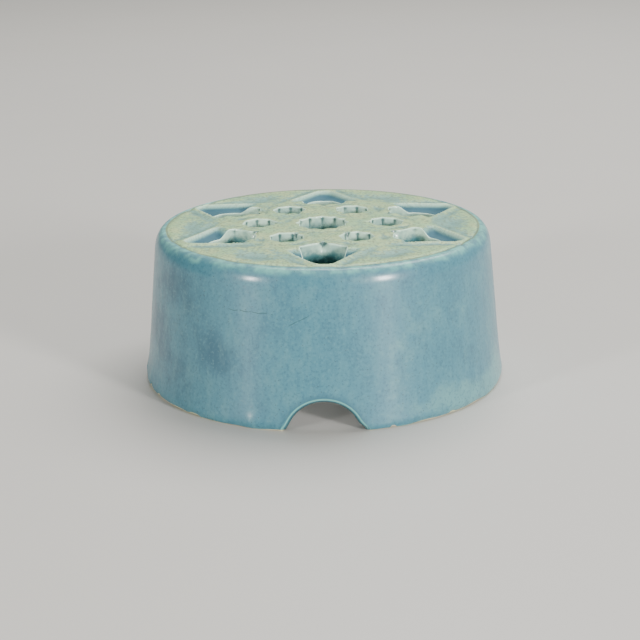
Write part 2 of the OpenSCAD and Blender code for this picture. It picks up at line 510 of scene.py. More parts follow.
def chips(t):
    """Where the foot's glaze is chipped: [direction in degrees, half-width in degrees, height in mm]."""
    spots = [(185, 0.9, 1.5), (196.5, 2.0, 1.1), (205, 1.4, 0.5), (226, 2.6, 0.5), (290.5, 1.0, 0.5)]
    spots += [(312, 1.2, 0.3), (40, 1.5, 0.7), (78, 1.0, 0.5), (121, 2.2, 0.9), (160, 1.0, 0.4)]
    degrees = np.degrees(t) % 360
    return sum(h * np.clip(1 - ((degrees - a) / w) ** 2, 0, 1) ** 0.6 for a, w, h in spots)


def glaze_edge(t):
    """Height of the glaze's lower edge in direction t: wavering, and lifted at chips."""
    s = sizes_once()
    waver = 0.12 * np.sin(7 * t + 1) + 0.09 * np.sin(17 * t) + 0.06 * np.sin(31 * t + 2)
    return s["glaze_line"] + waver + chips(t)


def settle(points):
    """Lifts the wall's lowest millimetres so that their edge follows the glaze's edge."""
    s = sizes_once()
    t = np.arctan2(points[..., 1], points[..., 0])
    near = ease(points[..., 2], 7.0, s["glaze_line"])
    points[..., 2] += (glaze_edge(t) - s["glaze_line"]) * near
    return points


def on_wall(q, z, radius):
    """Points of a wall at arc position q, in degrees from the front, and height z. The outside has a lump and
    a dent low on the left of the notch."""
    t = np.radians(270 + q)
    side = (q + 180) % 360 - 180
    lump = 0.38 * bump(side, -22.5, 3.4) * bump(z, 2.4, 1.5)
    dent = 0.2 * bump(side, -18.5, 3) * bump(z, 0.9, 0.8)
    swell = lump - dent
    return with_z(polar(radius(z) + (swell if radius is wall_radius else 0), t), z)


def arch(phi, grow):
    """The notch's outline around a point at the glaze line: a round arch grown by grow, spreading at its
    feet. phi runs from 0 at the right foot to 180 at the left one."""
    s = sizes_once()
    r = (s["notch_h"] ** 2 + (s["notch_w"] / 2) ** 2) / (2 * s["notch_h"])
    drop = s["glaze_line"] - (s["notch_h"] - r)
    a = np.radians(phi)
    plain = -drop * np.sin(a) + np.sqrt((r + grow) ** 2 - (drop * np.cos(a)) ** 2)
    right = 1.1 * np.exp(-((phi / 9) ** 2))
    left = 0.35 * np.exp(-(((180 - phi) / 9) ** 2))
    rho = plain + right + left
    return rho * np.cos(a), s["glaze_line"] + rho * np.sin(a)


def notch_edge(degrees_to_mm, low, high, rows):
    """Boundary of the notch's patch in arc position and height: up the right side, over, down the left."""
    half = int(round(SECTOR / STEP))
    up = low_levels(low)
    over = np.linspace(SECTOR, -SECTOR, 2 * half + 1)
    q = np.concatenate([np.full(rows, SECTOR), over, np.full(rows, -SECTOR)])
    z = np.concatenate([up[:-1], np.full(2 * half + 1, high), up[:-1][::-1]])
    return q, z, q * degrees_to_mm


def notch_patch(radius, grow, low, high, rows, steps):
    """A wall's patch around the notch: straight lines from the arch to the patch's boundary."""
    to_mm = np.pi / 180 * radius(5.0)
    q, z, x = notch_edge(to_mm, low, high, rows)
    phi = np.degrees(np.arctan2(z - low, x - NOTCH_MIDDLE))
    ax, az = arch(phi, grow)
    ax = (ax + NOTCH_MIDDLE) / to_mm
    f = np.linspace(0, 1, steps + 1)[:, None] ** 1.5
    points = on_wall(ax * (1 - f) + q * f, az * (1 - f) + z * f, radius)
    points[-1] = on_wall(q, z, radius)
    return points, phi


def wall_skin():
    """The outside from the arris to the glaze's lower edge, the room's wall, the notch and the foot."""
    s = sizes_once()
    low = s["glaze_line"]
    turn = np.arange(-SECTOR, 360 - SECTOR, STEP)
    whole = np.radians(270 + turn)
    # shoulder and upper wall, all the way round
    bend = np.radians(np.linspace(84, 0, 15))
    z_bend = s["arris_z"] - SHOULDER_DROP * (1 - np.sin(bend) / np.sin(bend[0]))
    pull = (wall_radius(s["arris_z"]) - s["arris_r"]) * (1 - np.cos(bend)) / (1 - np.cos(bend[0]))
    z = np.concatenate([z_bend, np.linspace(z_bend[-1], SPLIT_Z, 9)[1:]])
    r = wall_radius(z) - np.concatenate([pull, np.zeros(8)])
    upper = with_z(polar(r[:, None], whole), z[:, None] + 0 * whole)
    rim = with_z(polar(s["arris_r"], whole), top_height(*polar(s["arris_r"], whole).T))
    upper[0] = rim
    upper[-1] = on_wall(turn, np.full(len(turn), SPLIT_Z), wall_radius)
    # lower wall, apart from the notch's patch
    span = int(round(2 * SECTOR / STEP))
    around = turn[span:]
    around = np.append(around, 360 - SECTOR)
    z_low = low_levels(low)[::-1]
    q_low = np.broadcast_to(around, (LOW_ROWS + 1, len(around)))
    z_low = z_low[:, None] + 0 * around
    lower = on_wall(q_low, z_low, wall_radius)
    patch, phi = notch_patch(wall_radius, 1.2, low, SPLIT_Z, LOW_ROWS, 16)
    # the room: curve under the ceiling, upper wall, lower wall and patch
    ceiling_r = s["room_r"] - 4 + 2.2
    bend_in = np.radians(np.linspace(np.degrees(np.arccos(2.2 / 4)), 0, 5))
    r_in = s["room_r"] - 4 + 4 * np.cos(bend_in)
    z_in = s["ceiling_z"] - 4 + 4 * np.sin(bend_in)
    z_more = np.linspace(z_in[-1], SPLIT_Z, 4)[1:]
    r_in = np.concatenate([r_in, room_radius(z_more)])
    z_in = np.concatenate([z_in, z_more])
    room_upper = with_z(polar(r_in[:, None], whole), z_in[:, None] + 0 * whole)
    edge = polar(ceiling_r, whole)
    room_upper[0] = with_z(edge, room_height(np.hypot(edge[:, 0], edge[:, 1])))
    room_lower = on_wall(q_low, z_low, room_radius)
    room_patch, _ = notch_patch(room_radius, 0.7, low, SPLIT_Z, LOW_ROWS, 16)
    for part in (lower, patch):
        settle(part)
    # the tunnel between the two patches' inner rows: rolled outer lip, straight lining, rolled inner lip
    tunnel = tunnel_rows(patch[0], room_patch[0], phi)
    foot = foot_rows(lower, patch, room_lower, room_patch, tunnel)
    return [
        grid(upper[::-1], True, SIDE),
        grid(lower[::-1], False, SIDE),
        grid(patch[::-1], False, SIDE),
        grid(tunnel, False, SIDE),
        grid(room_upper, True, ROOM),
        grid(room_lower, False, ROOM),
        grid(room_patch, False, ROOM),
        foot,
    ]


def tunnel_rows(outer, inner, phi):
    """Rows from the outer wall through the notch to the room's wall.

    The outer lip bends in along an ellipse and stops short of square, which leaves an edge; then the lining
    runs straight in, and a small lip turns into the room."""
    ax, az = arch(phi, 0)
    bend = np.radians(np.linspace(0, 68, 7))[1:, None]
    y_out = outer[:, 1]
    lip = 0.55
    pull = (1 - np.cos(bend)) / (1 - np.cos(bend[-1]))
    sink = np.sin(bend) / np.sin(bend[-1])
    flat = np.stack([outer[:, 0], outer[:, 2]], -1)
    goal = np.stack([ax + NOTCH_MIDDLE, az], -1)
    goal[[0, -1], 1] = flat[[0, -1], 1]
    face = flat * (1 - sink[..., None]) + goal * sink[..., None]
    y_lip = y_out + lip * pull
    y_in = inner[:, 1]
    f = np.linspace(0, 1, 6)[1:-1, None]
    y_mid = y_lip[-1] * (1 - f) + (y_in - 0.7) * f
    mid = np.broadcast_to(goal, (len(f),) + goal.shape)
    flat_in = np.stack([inner[:, 0], inner[:, 2]], -1)
    g = np.radians([0, 30, 60])[:, None]
    y_last = (y_in - 0.7) + 0.7 * np.sin(g)
    last = goal * np.cos(g)[..., None] + flat_in * (1 - np.cos(g))[..., None]
    rows_xz = np.concatenate([flat[None], face, mid, last, flat_in[None]])
    rows_y = np.concatenate([y_out[None], y_lip, y_mid, y_last, y_in[None]])
    points = np.stack([rows_xz[..., 0], rows_y, rows_xz[..., 1]], -1)
    points[0], points[-1] = outer, inner
    return points


def foot_rows(lower, patch, room_lower, room_patch, tunnel):
    """The foot from one side of the notch round to the other.

    Each column runs from the glaze's edge outside to the one inside; its height drops along a quarter
    circle with the distance from the nearest edge, so that the middle stands flat on the table."""
    outer = np.concatenate([patch[:, 0], lower[-1][1:-1], patch[::-1, -1]])
    inner = np.concatenate([room_patch[:, 0], room_lower[-1][1:-1], room_patch[::-1, -1]])
    across = tunnel.shape[0]
    first, last = tunnel[:, 0], tunnel[:, -1]
    step = np.linspace(0, 1, across)
    f = (0.5 - 0.5 * np.cos(np.pi * step))[:, None]
    points = outer[None] * (1 - f[..., None]) + inner[None] * f[..., None]
    points[:, 0], points[:, -1] = first, last
    for side, end in ((0, first), (-1, last)):
        for k in range(1, 5):
            c = k if side == 0 else -1 - k
            share = (1 - k / 5) ** 2
            straight = outer[c] * (1 - f) + inner[c] * f
            bent = end + (straight - end) * (k / 5)
            points[:, c] = straight * (1 - share) + bent * share
            points[0, c], points[-1, c] = outer[c], inner[c]
    r = np.hypot(points[..., 0], points[..., 1])
    r_out = np.hypot(outer[:, 0], outer[:, 1])
    r_in = np.hypot(inner[:, 0], inner[:, 1])
    jamb = np.minimum(
        np.hypot(points[..., 0] - first[:, None, 0], points[..., 1] - first[:, None, 1]),
        np.hypot(points[..., 0] - last[:, None, 0], points[..., 1] - last[:, None, 1]),
    )
    gap = np.minimum(np.minimum(r_out - r, r - r_in), jamb)
    roll = 1.2
    fall = 1 - np.sqrt(np.clip(1 - (1 - np.clip(gap / roll, 0, 1)) ** 2, 0, 1))
    edge_z = outer[None, :, 2] * (1 - f) + inner[None, :, 2] * f
    points[..., 2] = edge_z * fall
    points[0], points[-1] = outer, inner
    points[:, 0], points[:, -1] = first, last
    return grid(points[::-1], False, FOOT)


# ------------------------------------------------------------ the skin


def soften(values, edges, passes):
    """Averages each point's value with the mean of its neighbours', several times over."""
    a, b = edges.T
    n = len(values)
    count = np.bincount(a, minlength=n) + np.bincount(b, minlength=n)
    for _ in range(passes):
        total = np.bincount(a, values[b], n) + np.bincount(b, values[a], n)
        values = (values + total / count) / 2
    return values


def curvature(points, normals, edges):
    """Mean curvature at each point, in 1/mm and above 0 in a hollow: twice a neighbour's rise along the
    normal over its squared distance, averaged over the neighbours."""
    a, b = edges.T
    n = len(points)
    d = points[b] - points[a]
    reach = np.maximum((d * d).sum(1), 0.01)
    at_a = 2 * (d * normals[a]).sum(1) / reach
    at_b = -2 * (d * normals[b]).sum(1) / reach
    count = np.bincount(a, minlength=n) + np.bincount(b, minlength=n)
    return (np.bincount(a, at_a, n) + np.bincount(b, at_b, n)) / count


def grooves(points, faces, labels):
    """On the holes' walls, how deep each point lies between two ridges or in a V nick; 0 elsewhere. The hole
    glaze paints shade in the grooves and nicks by it.
    """
    value = np.zeros(len(points))
    for label, hole in enumerate(holes()):
        mine = np.unique(faces[labels == label])
        away = points[mine, :2] - hole.middle
        t = np.arctan2(away[:, 1], away[:, 0])
        drop = np.clip(top_height(*points[mine, :2].T) - points[mine, 2], 0, 10)
        between = hole.groove(t) * ease(drop, 0.1, 0.4) - drop / 4
        value[mine] = np.maximum(between, 1.4 * (hole.nick(t) - drop / 1.7))
    return value


def stains(t, z):
    """Large uneven patches of the side's glaze, blue below 0 and sea green above: bells over direction, in
    degrees, and height, in mm."""
    spots = [(234, 7, 17, 7, -1.0), (217, 12, 30, 5, -0.7), (212, 16, 14, 12, -0.55), (199, 7, 20, 16, -0.3)]
    spots += [(320, 22, 2.5, 4, 0.9), (345, 14, 4, 5, 0.6), (300, 14, 20, 9, 0.25), (283, 6, 24, 8, 0.2)]
    spots += [(60, 20, 8, 8, -0.7), (110, 14, 26, 7, -0.6), (30, 10, 20, 10, 0.4), (150, 16, 6, 6, 0.6)]
    degrees = np.degrees(t) % 360
    around = [(degrees - a + 180) % 360 - 180 for a, *_ in spots]
    return sum(amount * bump(q, 0, w) * bump(z, c, h) for q, (_, w, c, h, amount) in zip(around, spots))


@functools.lru_cache(maxsize=None)
def skin():
    """The whole frog's closed surface: points, quads, labels and normals, the clay's points under the glaze,
    and at each point the values that the materials read."""
    s = sizes_once()
    parts = []
    ceiling_edges = cell_edges(s["room_r"] - 4 + 2.2)
    for label, (hole, edge, ceiling) in enumerate(zip(holes(), cell_edges(s["arris_r"]), ceiling_edges)):
        cell, mouth = top_cell(hole, edge, label)
        parts += cell
        parts.append(ceiling_cell(ceiling, mouth))
    parts += wall_skin()
    points, faces, labels = weld(parts)
    normals = point_normals(points, faces)
    pairs = np.concatenate([faces[:, [k, (k + 1) % 4]] for k in range(4)])
    edges = np.unique(np.sort(pairs, axis=1), axis=0)
    bend = np.clip(curvature(points, normals, edges), -4, 4)
    glazed = np.zeros(len(points))
    glazed[faces[labels != FOOT]] = 1
    even = np.stack([soften(normals[:, k], edges, 3) for k in range(3)], -1)
    even = even / np.linalg.norm(even, axis=1, keepdims=True)
    clay = points - even * (s["glaze_t"] * glazed)[:, None]
    on_top = np.zeros(len(points))
    on_top[faces[labels == TOP]] = 1
    height = np.zeros(len(points))
    top = on_top > 0
    height[top] = relief(points[top, 0], points[top, 1])
    # A line along each arrowhead's arms, painted as thin glaze and partly as a highlight.
    arris = np.zeros(len(points))
    for hole in holes()[7:]:
        inside, reach, _, _ = arms(points[:, 0], points[:, 1], hole)
        arris = np.maximum(arris, bump(inside, 0.05, 0.33) * reach * top)
    lips = np.zeros(len(points))
    lips[faces[labels < TOP]] = 1
    lips = soften(lips, edges, 2)
    x, y, z = points.T
    notch = np.hypot(x - NOTCH_MIDDLE, z + NOTCH_CIRCLE_LOW) - NOTCH_CIRCLE_R
    near_notch = (z < 10) & (notch < 2.6) & (y < 0)
    values = {
        "thin": np.where(top & (lips == 0), 0, soften(-bend, edges, 1)),
        "arris": arris,
        "groove": grooves(points, faces, labels),
        "pool": soften(bend, edges, 12),
        "relief": height,
        "drop": np.clip(top_height(x, y) - z, 0, 10),
        "stain": stains(np.arctan2(y, x), z),
        "rim": rim_place(x, y),
        "lining": np.where(near_notch & (notch < 1), np.clip(wall_radius(z) - np.hypot(x, y), 0, 3), 0),
        # painted shade on the roll round the notch's arch
        "notch_shade": np.where(near_notch, ease(notch, 2.0, 0.4), 0),
    }
    return SimpleNamespace(
        points=points, faces=faces, labels=labels, normals=normals, clay=clay, values=values
    )


# ------------------------------------------------------------ pieces


def put_piece(name, points, faces, corners, values, material, nodes):
    """Makes a mesh object from whole arrays, stands it for its CAD nodes and hands it to the frame."""
    mesh = bpy.data.meshes.new(name)
    mesh.from_pydata(points * MM, [], faces)
    for key, value in values.items():
        layer = mesh.attributes.new(key, "FLOAT", "POINT")
        layer.data.foreach_set("value", np.ascontiguousarray(value, dtype=np.float32))
    mesh.shade_smooth()
    mesh.normals_split_custom_set(corners.reshape(-1, 3))
    mesh.materials.append(material)
    piece = bpy.data.objects.new(name, mesh)
    bpy.context.scene.collection.objects.link(piece)
    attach(piece, "root")
    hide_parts(*nodes)


def put_clay(name, node, material):
    """The cast clay: the skin set in by the glaze's thickness wherever glaze covers it."""
    whole = skin()
    corners = point_normals(whole.clay, whole.faces)[whole.faces]
    put_piece(name, whole.clay, whole.faces, corners, whole.values, material, [node])


def put_coat(name, label, node, material):
    """A coat of glaze: its part of the skin, the clay's surface under it turned round, and a strip that
    closes the gap along their edges. Its outside keeps the whole skin's normals, so coats meet smoothly."""
    whole = skin()
    mine = whole.faces[whole.labels == label]
    used, back = np.unique(mine, return_inverse=True)
    outer = back.reshape(-1, 4)
    n = len(used)
    start, end = outer.reshape(-1), np.roll(outer, -1, axis=1).reshape(-1)
    rim = ~np.isin(start * n + end, end * n + start)
    a, b = start[rim], end[rim]
    strip = np.stack([b, a, a + n, b + n], -1)
    points = np.concatenate([whole.points[used], whole.clay[used]])
    inner = outer[:, ::-1] + n
    flat = face_normals(points, strip)
    flat = flat / np.maximum(np.linalg.norm(flat, axis=1, keepdims=True), 1e-12)
    normals = np.concatenate([whole.normals[used], -whole.normals[used]])
    corners = np.concatenate([normals[outer], normals[inner], np.repeat(flat[:, None], 4, axis=1)])
    values = {key: np.tile(value[used], 2) for key, value in whole.values.items()}
    put_piece(name, points, np.concatenate([outer, inner, strip]), corners, values, material, [node])


# ------------------------------------------------------------ shader nodes


def place(tree, kind, inputs=None, **settings):
    """Adds a node with its settings; an input given as a socket is linked, and any other value is set."""
    node = tree.nodes.new(kind)
    for key, value in settings.items():
        setattr(node, key, value)
    for key, value in (inputs or {}).items():
        if isinstance(value, bpy.types.NodeSocket):
            tree.links.new(value, node.inputs[key])
        else:
            node.inputs[key].default_value = value
    return node


def rgba(value):
    """A colour setting with an alpha of 1."""
    return (*value, 1)


def blend(tree, a, b, factor, mode="MIX"):
    """Mixes colour b into colour a by factor."""
    inputs = {0: factor, 6: a, 7: b}
    return place(tree, "ShaderNodeMix", inputs, data_type="RGBA", blend_type=mode).outputs[2]


def maths(tree, operation, a, b=0.0):
    """One sum on two numbers."""
    return place(tree, "ShaderNodeMath", {0: a, 1: b}, operation=operation).outputs[0]


def times(tree, a, b):
    """The product of two numbers."""
    return maths(tree, "MULTIPLY", a, b)


def tinted(tree, base, colour_setting, factor, amount):
    """Mixes a colour setting into base by a factor times an amount."""
    return blend(tree, base, rgba(colour_setting), times(tree, factor, amount))


def ranged(tree, value, factor, start):
    """A number times a factor, added to a start."""
    return maths(tree, "ADD", times(tree, value, factor), start)


def mask(tree, value, low, high):
    """0 at low, 1 at high, and a smooth S between them; low may be the larger."""
    inputs = {"Value": value, "From Min": low, "From Max": high}
    return place(tree, "ShaderNodeMapRange", inputs, interpolation_type="SMOOTHSTEP").outputs[0]


def attribute(tree, name):
    """A piece's own number."""
    return place(tree, "ShaderNodeAttribute", attribute_name=name).outputs["Fac"]


def object_point(tree):
    """Object coordinates, in metres."""
    return place(tree, "ShaderNodeTexCoord").outputs["Object"]


def stretched(tree, vector, scale, shift=(0, 0, 0)):
    """Coordinates scaled along each axis and moved."""
    return place(tree, "ShaderNodeMapping", {"Vector": vector, "Scale": scale, "Location": shift}).outputs[0]


def noise(tree, vector, scale, detail=2.0, rough=0.5):
    """Noise around 0.5."""
    inputs = {"Vector": vector, "Scale": scale, "Detail": detail, "Roughness": rough}
    return place(tree, "ShaderNodeTexNoise", inputs).outputs["Fac"]


def height_of(tree, vector):
    """The Z of a point."""
    return place(tree, "ShaderNodeSeparateXYZ", {"Vector": vector}).outputs["Z"]


def new_group(name, inputs, outputs):
    """A shader node group with named number and vector inputs and number outputs, and its two end nodes."""
    tree = bpy.data.node_groups.new(name, "ShaderNodeTree")
    for key, value in inputs.items():
        kind = "NodeSocketVector" if value is None else "NodeSocketFloat"
        socket = tree.interface.new_socket(key, in_out="INPUT", socket_type=kind)
        if value is not None:
            socket.default_value = value
    for key in outputs:
        tree.interface.new_socket(key, in_out="OUTPUT", socket_type="NodeSocketFloat")
    return tree, tree.nodes.new("NodeGroupInput").outputs, tree.nodes.new("NodeGroupOutput").inputs


@functools.lru_cache(maxsize=None)
def glaze_grain():
    """How a fired glaze varies: wide patches, a middling mottle, dark specks, and the height of its skin."""
    inputs = {"Point": None, "Patch": 70.0, "Mottle": 420.0, "Speck": 1500.0, "Amount": 0.5}
    tree, given, made = new_group("glaze_grain", inputs, ["Patches", "Mottle", "Specks", "Height"])
    point = given["Point"]
    patches = noise(tree, point, given["Patch"], 3.0, 0.55)
    mottle = noise(tree, point, given["Mottle"], 4.0, 0.6)
    dots = place(
        tree, "ShaderNodeTexVoronoi", {"Vector": point, "Scale": given["Speck"], "Randomness": 1.0}
    )
    size = times(tree, given["Amount"], 0.34)
    chance = place(tree, "ShaderNodeSeparateColor", {0: dots.outputs["Color"]}).outputs[0]
    dot = mask(tree, dots.outputs["Distance"], size, times(tree, size, 0.5))
    kept = mask(tree, chance, 0.72, 0.9)
    tree.links.new(mask(tree, patches, 0.36, 0.64), made["Patches"])
    tree.links.new(mask(tree, mottle, 0.34, 0.66), made["Mottle"])
    tree.links.new(times(tree, dot, kept), made["Specks"])
    swell = times(tree, noise(tree, point, 520.0, 2.0, 0.5), 0.8)
    pits = times(tree, times(tree, dot, kept), -0.35)
    tree.links.new(maths(tree, "ADD", swell, pits), made["Height"])
    return tree


@functools.lru_cache(maxsize=None)
def glaze_break():
    """Where a glaze runs off sharp edges and gathers in hollows, unevenly, from a piece's thin and pool."""
    inputs = {"Point": None, "Edge": 0.9, "Hollow": 0.12, "Uneven": 0.5}
    tree, given, made = new_group("glaze_break", inputs, ["Thin", "Pooled"])
    shift = maths(tree, "SUBTRACT", noise(tree, given["Point"], 900.0, 3.0, 0.6), 0.5)
    waver = times(tree, shift, given["Uneven"])
    thin = maths(tree, "ADD", attribute(tree, "thin"), waver)
    pool = maths(tree, "ADD", attribute(tree, "pool"), times(tree, waver, 0.3))
    tree.links.new(mask(tree, thin, times(tree, given["Edge"], 0.45), given["Edge"]), made["Thin"])
    tree.links.new(mask(tree, pool, 0.02, given["Hollow"]), made["Pooled"])
    return tree


def grouped(tree, group, vector, values):
    """A node group on some coordinates, with values for its other inputs."""
    return place(tree, "ShaderNodeGroup", {"Point": vector, **values}, node_tree=group).outputs


def grained(tree, vector, **values):
    """The glaze grain group on some coordinates."""
    return grouped(tree, glaze_grain(), vector, values)


def broken(tree, vector, **values):
    """The glaze break group on some coordinates."""
    return grouped(tree, glaze_break(), vector, values)


def new_material(name):
    """An empty material and its node tree."""
    material = bpy.data.materials.new(name)
    material.use_nodes = True
    material.node_tree.nodes.clear()
    return material, material.node_tree


def new_glaze(name, **values):
    """An empty material, its node tree, the colour settings, object coordinates and glaze grain on them."""
    material, tree = new_material(name)
    point = object_point(tree)
    return material, tree, bpy.context.scene.frog_glaze, point, grained(tree, point, **values)


def finish_glaze(tree, base, rough, height, depth, **sockets):
    """The glaze's shader: base colour and roughness over a bump of that depth in metres."""
    bump_node = place(tree, "ShaderNodeBump", {"Height": height, "Distance": depth, "Strength": 1.0})
    inputs = {"Base Color": base, "Roughness": rough, "Normal": bump_node.outputs[0]}
    for key, value in sockets.items():
        inputs[key.replace("_", " ")] = value
    shader = place(tree, "ShaderNodeBsdfPrincipled", inputs)
    out = tree.nodes.new("ShaderNodeOutputMaterial")
    tree.links.new(shader.outputs[0], out.inputs["Surface"])


# ------------------------------------------------------------ materials


def scratch(tree, point, start, end):
    """1 along a hair-thin straight scratch on the front, from start to end (x and z in mm), with gaps."""
    axes = place(tree, "ShaderNodeSeparateXYZ", {"Vector": point}).outputs
    slope = (end[1] - start[1]) / (end[0] - start[0])
    rise = times(tree, maths(tree, "SUBTRACT", axes["X"], start[0] * MM), slope)
    off = maths(tree, "SUBTRACT", maths(tree, "SUBTRACT", axes["Z"], start[1] * MM), rise)
    waver = times(tree, maths(tree, "SUBTRACT", noise(tree, point, 260.0, 2.0, 0.5), 0.5), 0.0012)
    line_mask = mask(tree, maths(tree, "ABSOLUTE", maths(tree, "ADD", off, waver)), 0.00013, 0.00005)
    begun = mask(tree, axes["X"], (start[0] - 1) * MM, start[0] * MM)
    unended = mask(tree, axes["X"], (end[0] + 1) * MM, end[0] * MM)
    along = times(tree, begun, unended)
    front = mask(tree, axes["Y"], -0.02, -0.03)
    gaps = mask(tree, noise(tree, point, 700.0, 1.0, 0.5), 0.38, 0.5)
    return times(tree, times(tree, line_mask, along), times(tree, front, gaps))


def rim_band(tree, point, look):
    """Colour of the bead at the rim: pale cyan and green, broken up with blue."""
    spots = noise(tree, point, 420.0, 3.0, 0.6)
    base = blend(tree, rgba(look.cyan), rgba(look.sea), mask(tree, spots, 0.36, 0.6))
    return tinted(tree, base, look.blue, mask(tree, spots, 0.5, 0.7), 0.6)


def side_glaze_material():
    """Satin blue glaze of the wall: patches, runs down the wall, fine specks, pale worn edges, and painted
    shade: a deep blue band round the notch's arch and near-black down its lining.
    """
    material, tree, look, point, grain = new_glaze(
        "side_glaze", Patch=55.0, Mottle=600.0, Speck=1250.0, Amount=0.6
    )
    runs = noise(tree, stretched(tree, point, (1, 1, 0.35)), 420.0, 5.0, 0.65)
    fine = noise(tree, point, 1500.0, 3.0, 0.6)
    edges = broken(tree, point, Edge=1.0, Uneven=0.15)
    patch = maths(tree, "SUBTRACT", times(tree, noise(tree, point, 95.0, 7.0, 0.68), 2.6), 1.3)
    stain = maths(tree, "ADD", attribute(tree, "stain"), patch)
    dark = times(tree, mask(tree, stain, -0.1, -0.9), 0.85)
    base = blend(tree, rgba(look.blue), rgba(look.deep_blue), dark)
    base = tinted(tree, base, look.sea, mask(tree, stain, 0.1, 0.8), 0.8)
    base = tinted(tree, base, look.sea, mask(tree, runs, 0.46, 0.72), 0.28)
    base = tinted(tree, base, look.deep_blue, mask(tree, runs, 0.5, 0.28), 0.32)
    base = tinted(tree, base, look.deep_blue, mask(tree, fine, 0.52, 0.66), 0.4)
    base = tinted(tree, base, look.sea, mask(tree, fine, 0.45, 0.3), 0.3)
    shift = times(tree, maths(tree, "SUBTRACT", noise(tree, point, 250.0, 3.0, 0.6), 0.5), 0.0025)
    height = maths(tree, "ADD", height_of(tree, point), shift)
    band = times(tree, mask(tree, height, 0.0354, 0.0371), 0.9)
    base = blend(tree, base, rim_band(tree, point, look), band)
    base = tinted(tree, base, look.cyan, edges["Thin"], 0.5)
    # painted shade: a deep blue band on the roll round the notch's arch
    base = tinted(tree, base, look.deep_blue, attribute(tree, "notch_shade"), 0.55)
    lining = attribute(tree, "lining")
    arris = times(tree, mask(tree, lining, 0.03, 0.09), mask(tree, lining, 0.28, 0.17))
    base = tinted(tree, base, look.cyan, arris, 0.75)
    # painted shade: the lining inside the notch turns near-black
    base = tinted(tree, base, look.pool, mask(tree, lining, 0.24, 0.42), 0.85)
    base = tinted(tree, base, look.speck, grain["Specks"], 0.6)
    for start, end in (((-24.5, 27.2), (-11.4, 27.0)), ((-7.4, 25.0), (-4.0, 26.6))):
        base = tinted(tree, base, look.pool, scratch(tree, point, start, end), 0.8)
    rough = ranged(tree, grain["Mottle"], 0.08, 0.38)
    coat = {"Coat_Weight": 0.5, "Coat_Roughness": 0.17, "Specular_IOR_Level": 0.35}
    finish_glaze(tree, base, rough, grain["Height"], 0.00006, **coat)
    return material


def top_glaze_material():
    """Mottled glaze of the top: olive on what stands up, grey-blue in the hollows, mint on the edges, partly
    a painted highlight along the arrowheads' arms, dark blue down the carved slopes, and a dark line of
    painted shade in the ring's groove within the pale rim."""
    material, tree, look, point, grain = new_glaze(
        "top_glaze", Patch=190.0, Mottle=800.0, Speck=1500.0, Amount=0.6
    )
    edges = broken(tree, point, Edge=0.8, Hollow=0.1, Uneven=0.3)
    height = attribute(tree, "relief")
    lift = maths(tree, "ADD", height, times(tree, grain["Mottle"], 0.3))
    raised = mask(tree, lift, -0.16, 0.2)
    base = blend(tree, rgba(look.grey_blue), rgba(look.olive), raised)
    worn = times(tree, grain["Patches"], raised)
    base = tinted(tree, base, look.tan, worn, 0.8)
    fine = noise(tree, point, 1500.0, 2.0, 0.5)
    base = tinted(tree, base, look.moss, mask(tree, fine, 0.48, 0.66), 0.7)
    base = tinted(tree, base, look.sea, mask(tree, height, -0.35, -0.9), 0.6)
    base = tinted(tree, base, look.deep_blue, mask(tree, height, -0.5, -1.3), 0.85)
    base = tinted(tree, base, look.deep_blue, edges["Pooled"], 0.3)
    ring = attribute(tree, "rim")
    base = blend(tree, base, rim_band(tree, point, look), mask(tree, ring, 0.1, 0.4))
    # painted shade: a dark green line along the groove of the ring
    groove = mask(tree, maths(tree, "ABSOLUTE", ring), 0.4, 0.1)
    base = tinted(tree, base, look.moss, groove, 0.75)
    base = tinted(tree, base, look.mint, edges["Thin"], 0.8)
    # partly a painted highlight: a pale line along the arrowheads' arms, where the glaze also breaks thin
    base = tinted(tree, base, look.mint, attribute(tree, "arris"), 0.65)
    base = tinted(tree, base, look.speck, grain["Specks"], 0.5)
    rough = ranged(tree, mask(tree, height, -0.3, -0.9), 0.35, 0.42)
    finish_glaze(tree, base, rough, grain["Height"], 0.00007, Specular_IOR_Level=0.3)
    return material


def hole_glaze_material():
    """Glaze in the holes: pale mint on lip and ridges, sea green further down, and painted shade: near-black
    in the grooves and nicks, and deeper down the throats.
    """
    material, tree, look, point, grain = new_glaze(
        "hole_glaze", Patch=260.0, Mottle=700.0, Speck=1500.0, Amount=0.4
    )
    edges = broken(tree, point, Edge=0.8, Uneven=0.4)
    drop = maths(tree, "ADD", attribute(tree, "drop"), times(tree, grain["Mottle"], -0.9))
    base = blend(tree, rgba(look.mint), rgba(look.sea), mask(tree, drop, 0.5, 3.0))
    base = tinted(tree, base, look.blue, grain["Patches"], 0.4)
    base = tinted(tree, base, look.mint, edges["Thin"], 0.9)
    # painted shade: near-black between the ridges and in the V nicks
    groove = mask(tree, attribute(tree, "groove"), 0.12, 0.6)
    base = tinted(tree, base, look.pool, groove, 0.85)
    # painted shade: the throats turn near-black further down
    base = tinted(tree, base, look.pool, mask(tree, drop, 2.4, 4.8), 0.9)
    rough = ranged(tree, grain["Mottle"], 0.1, 0.2)
    finish_glaze(tree, base, rough, grain["Height"], 0.00007, Coat_Weight=0.3, Coat_Roughness=0.1)
    return material


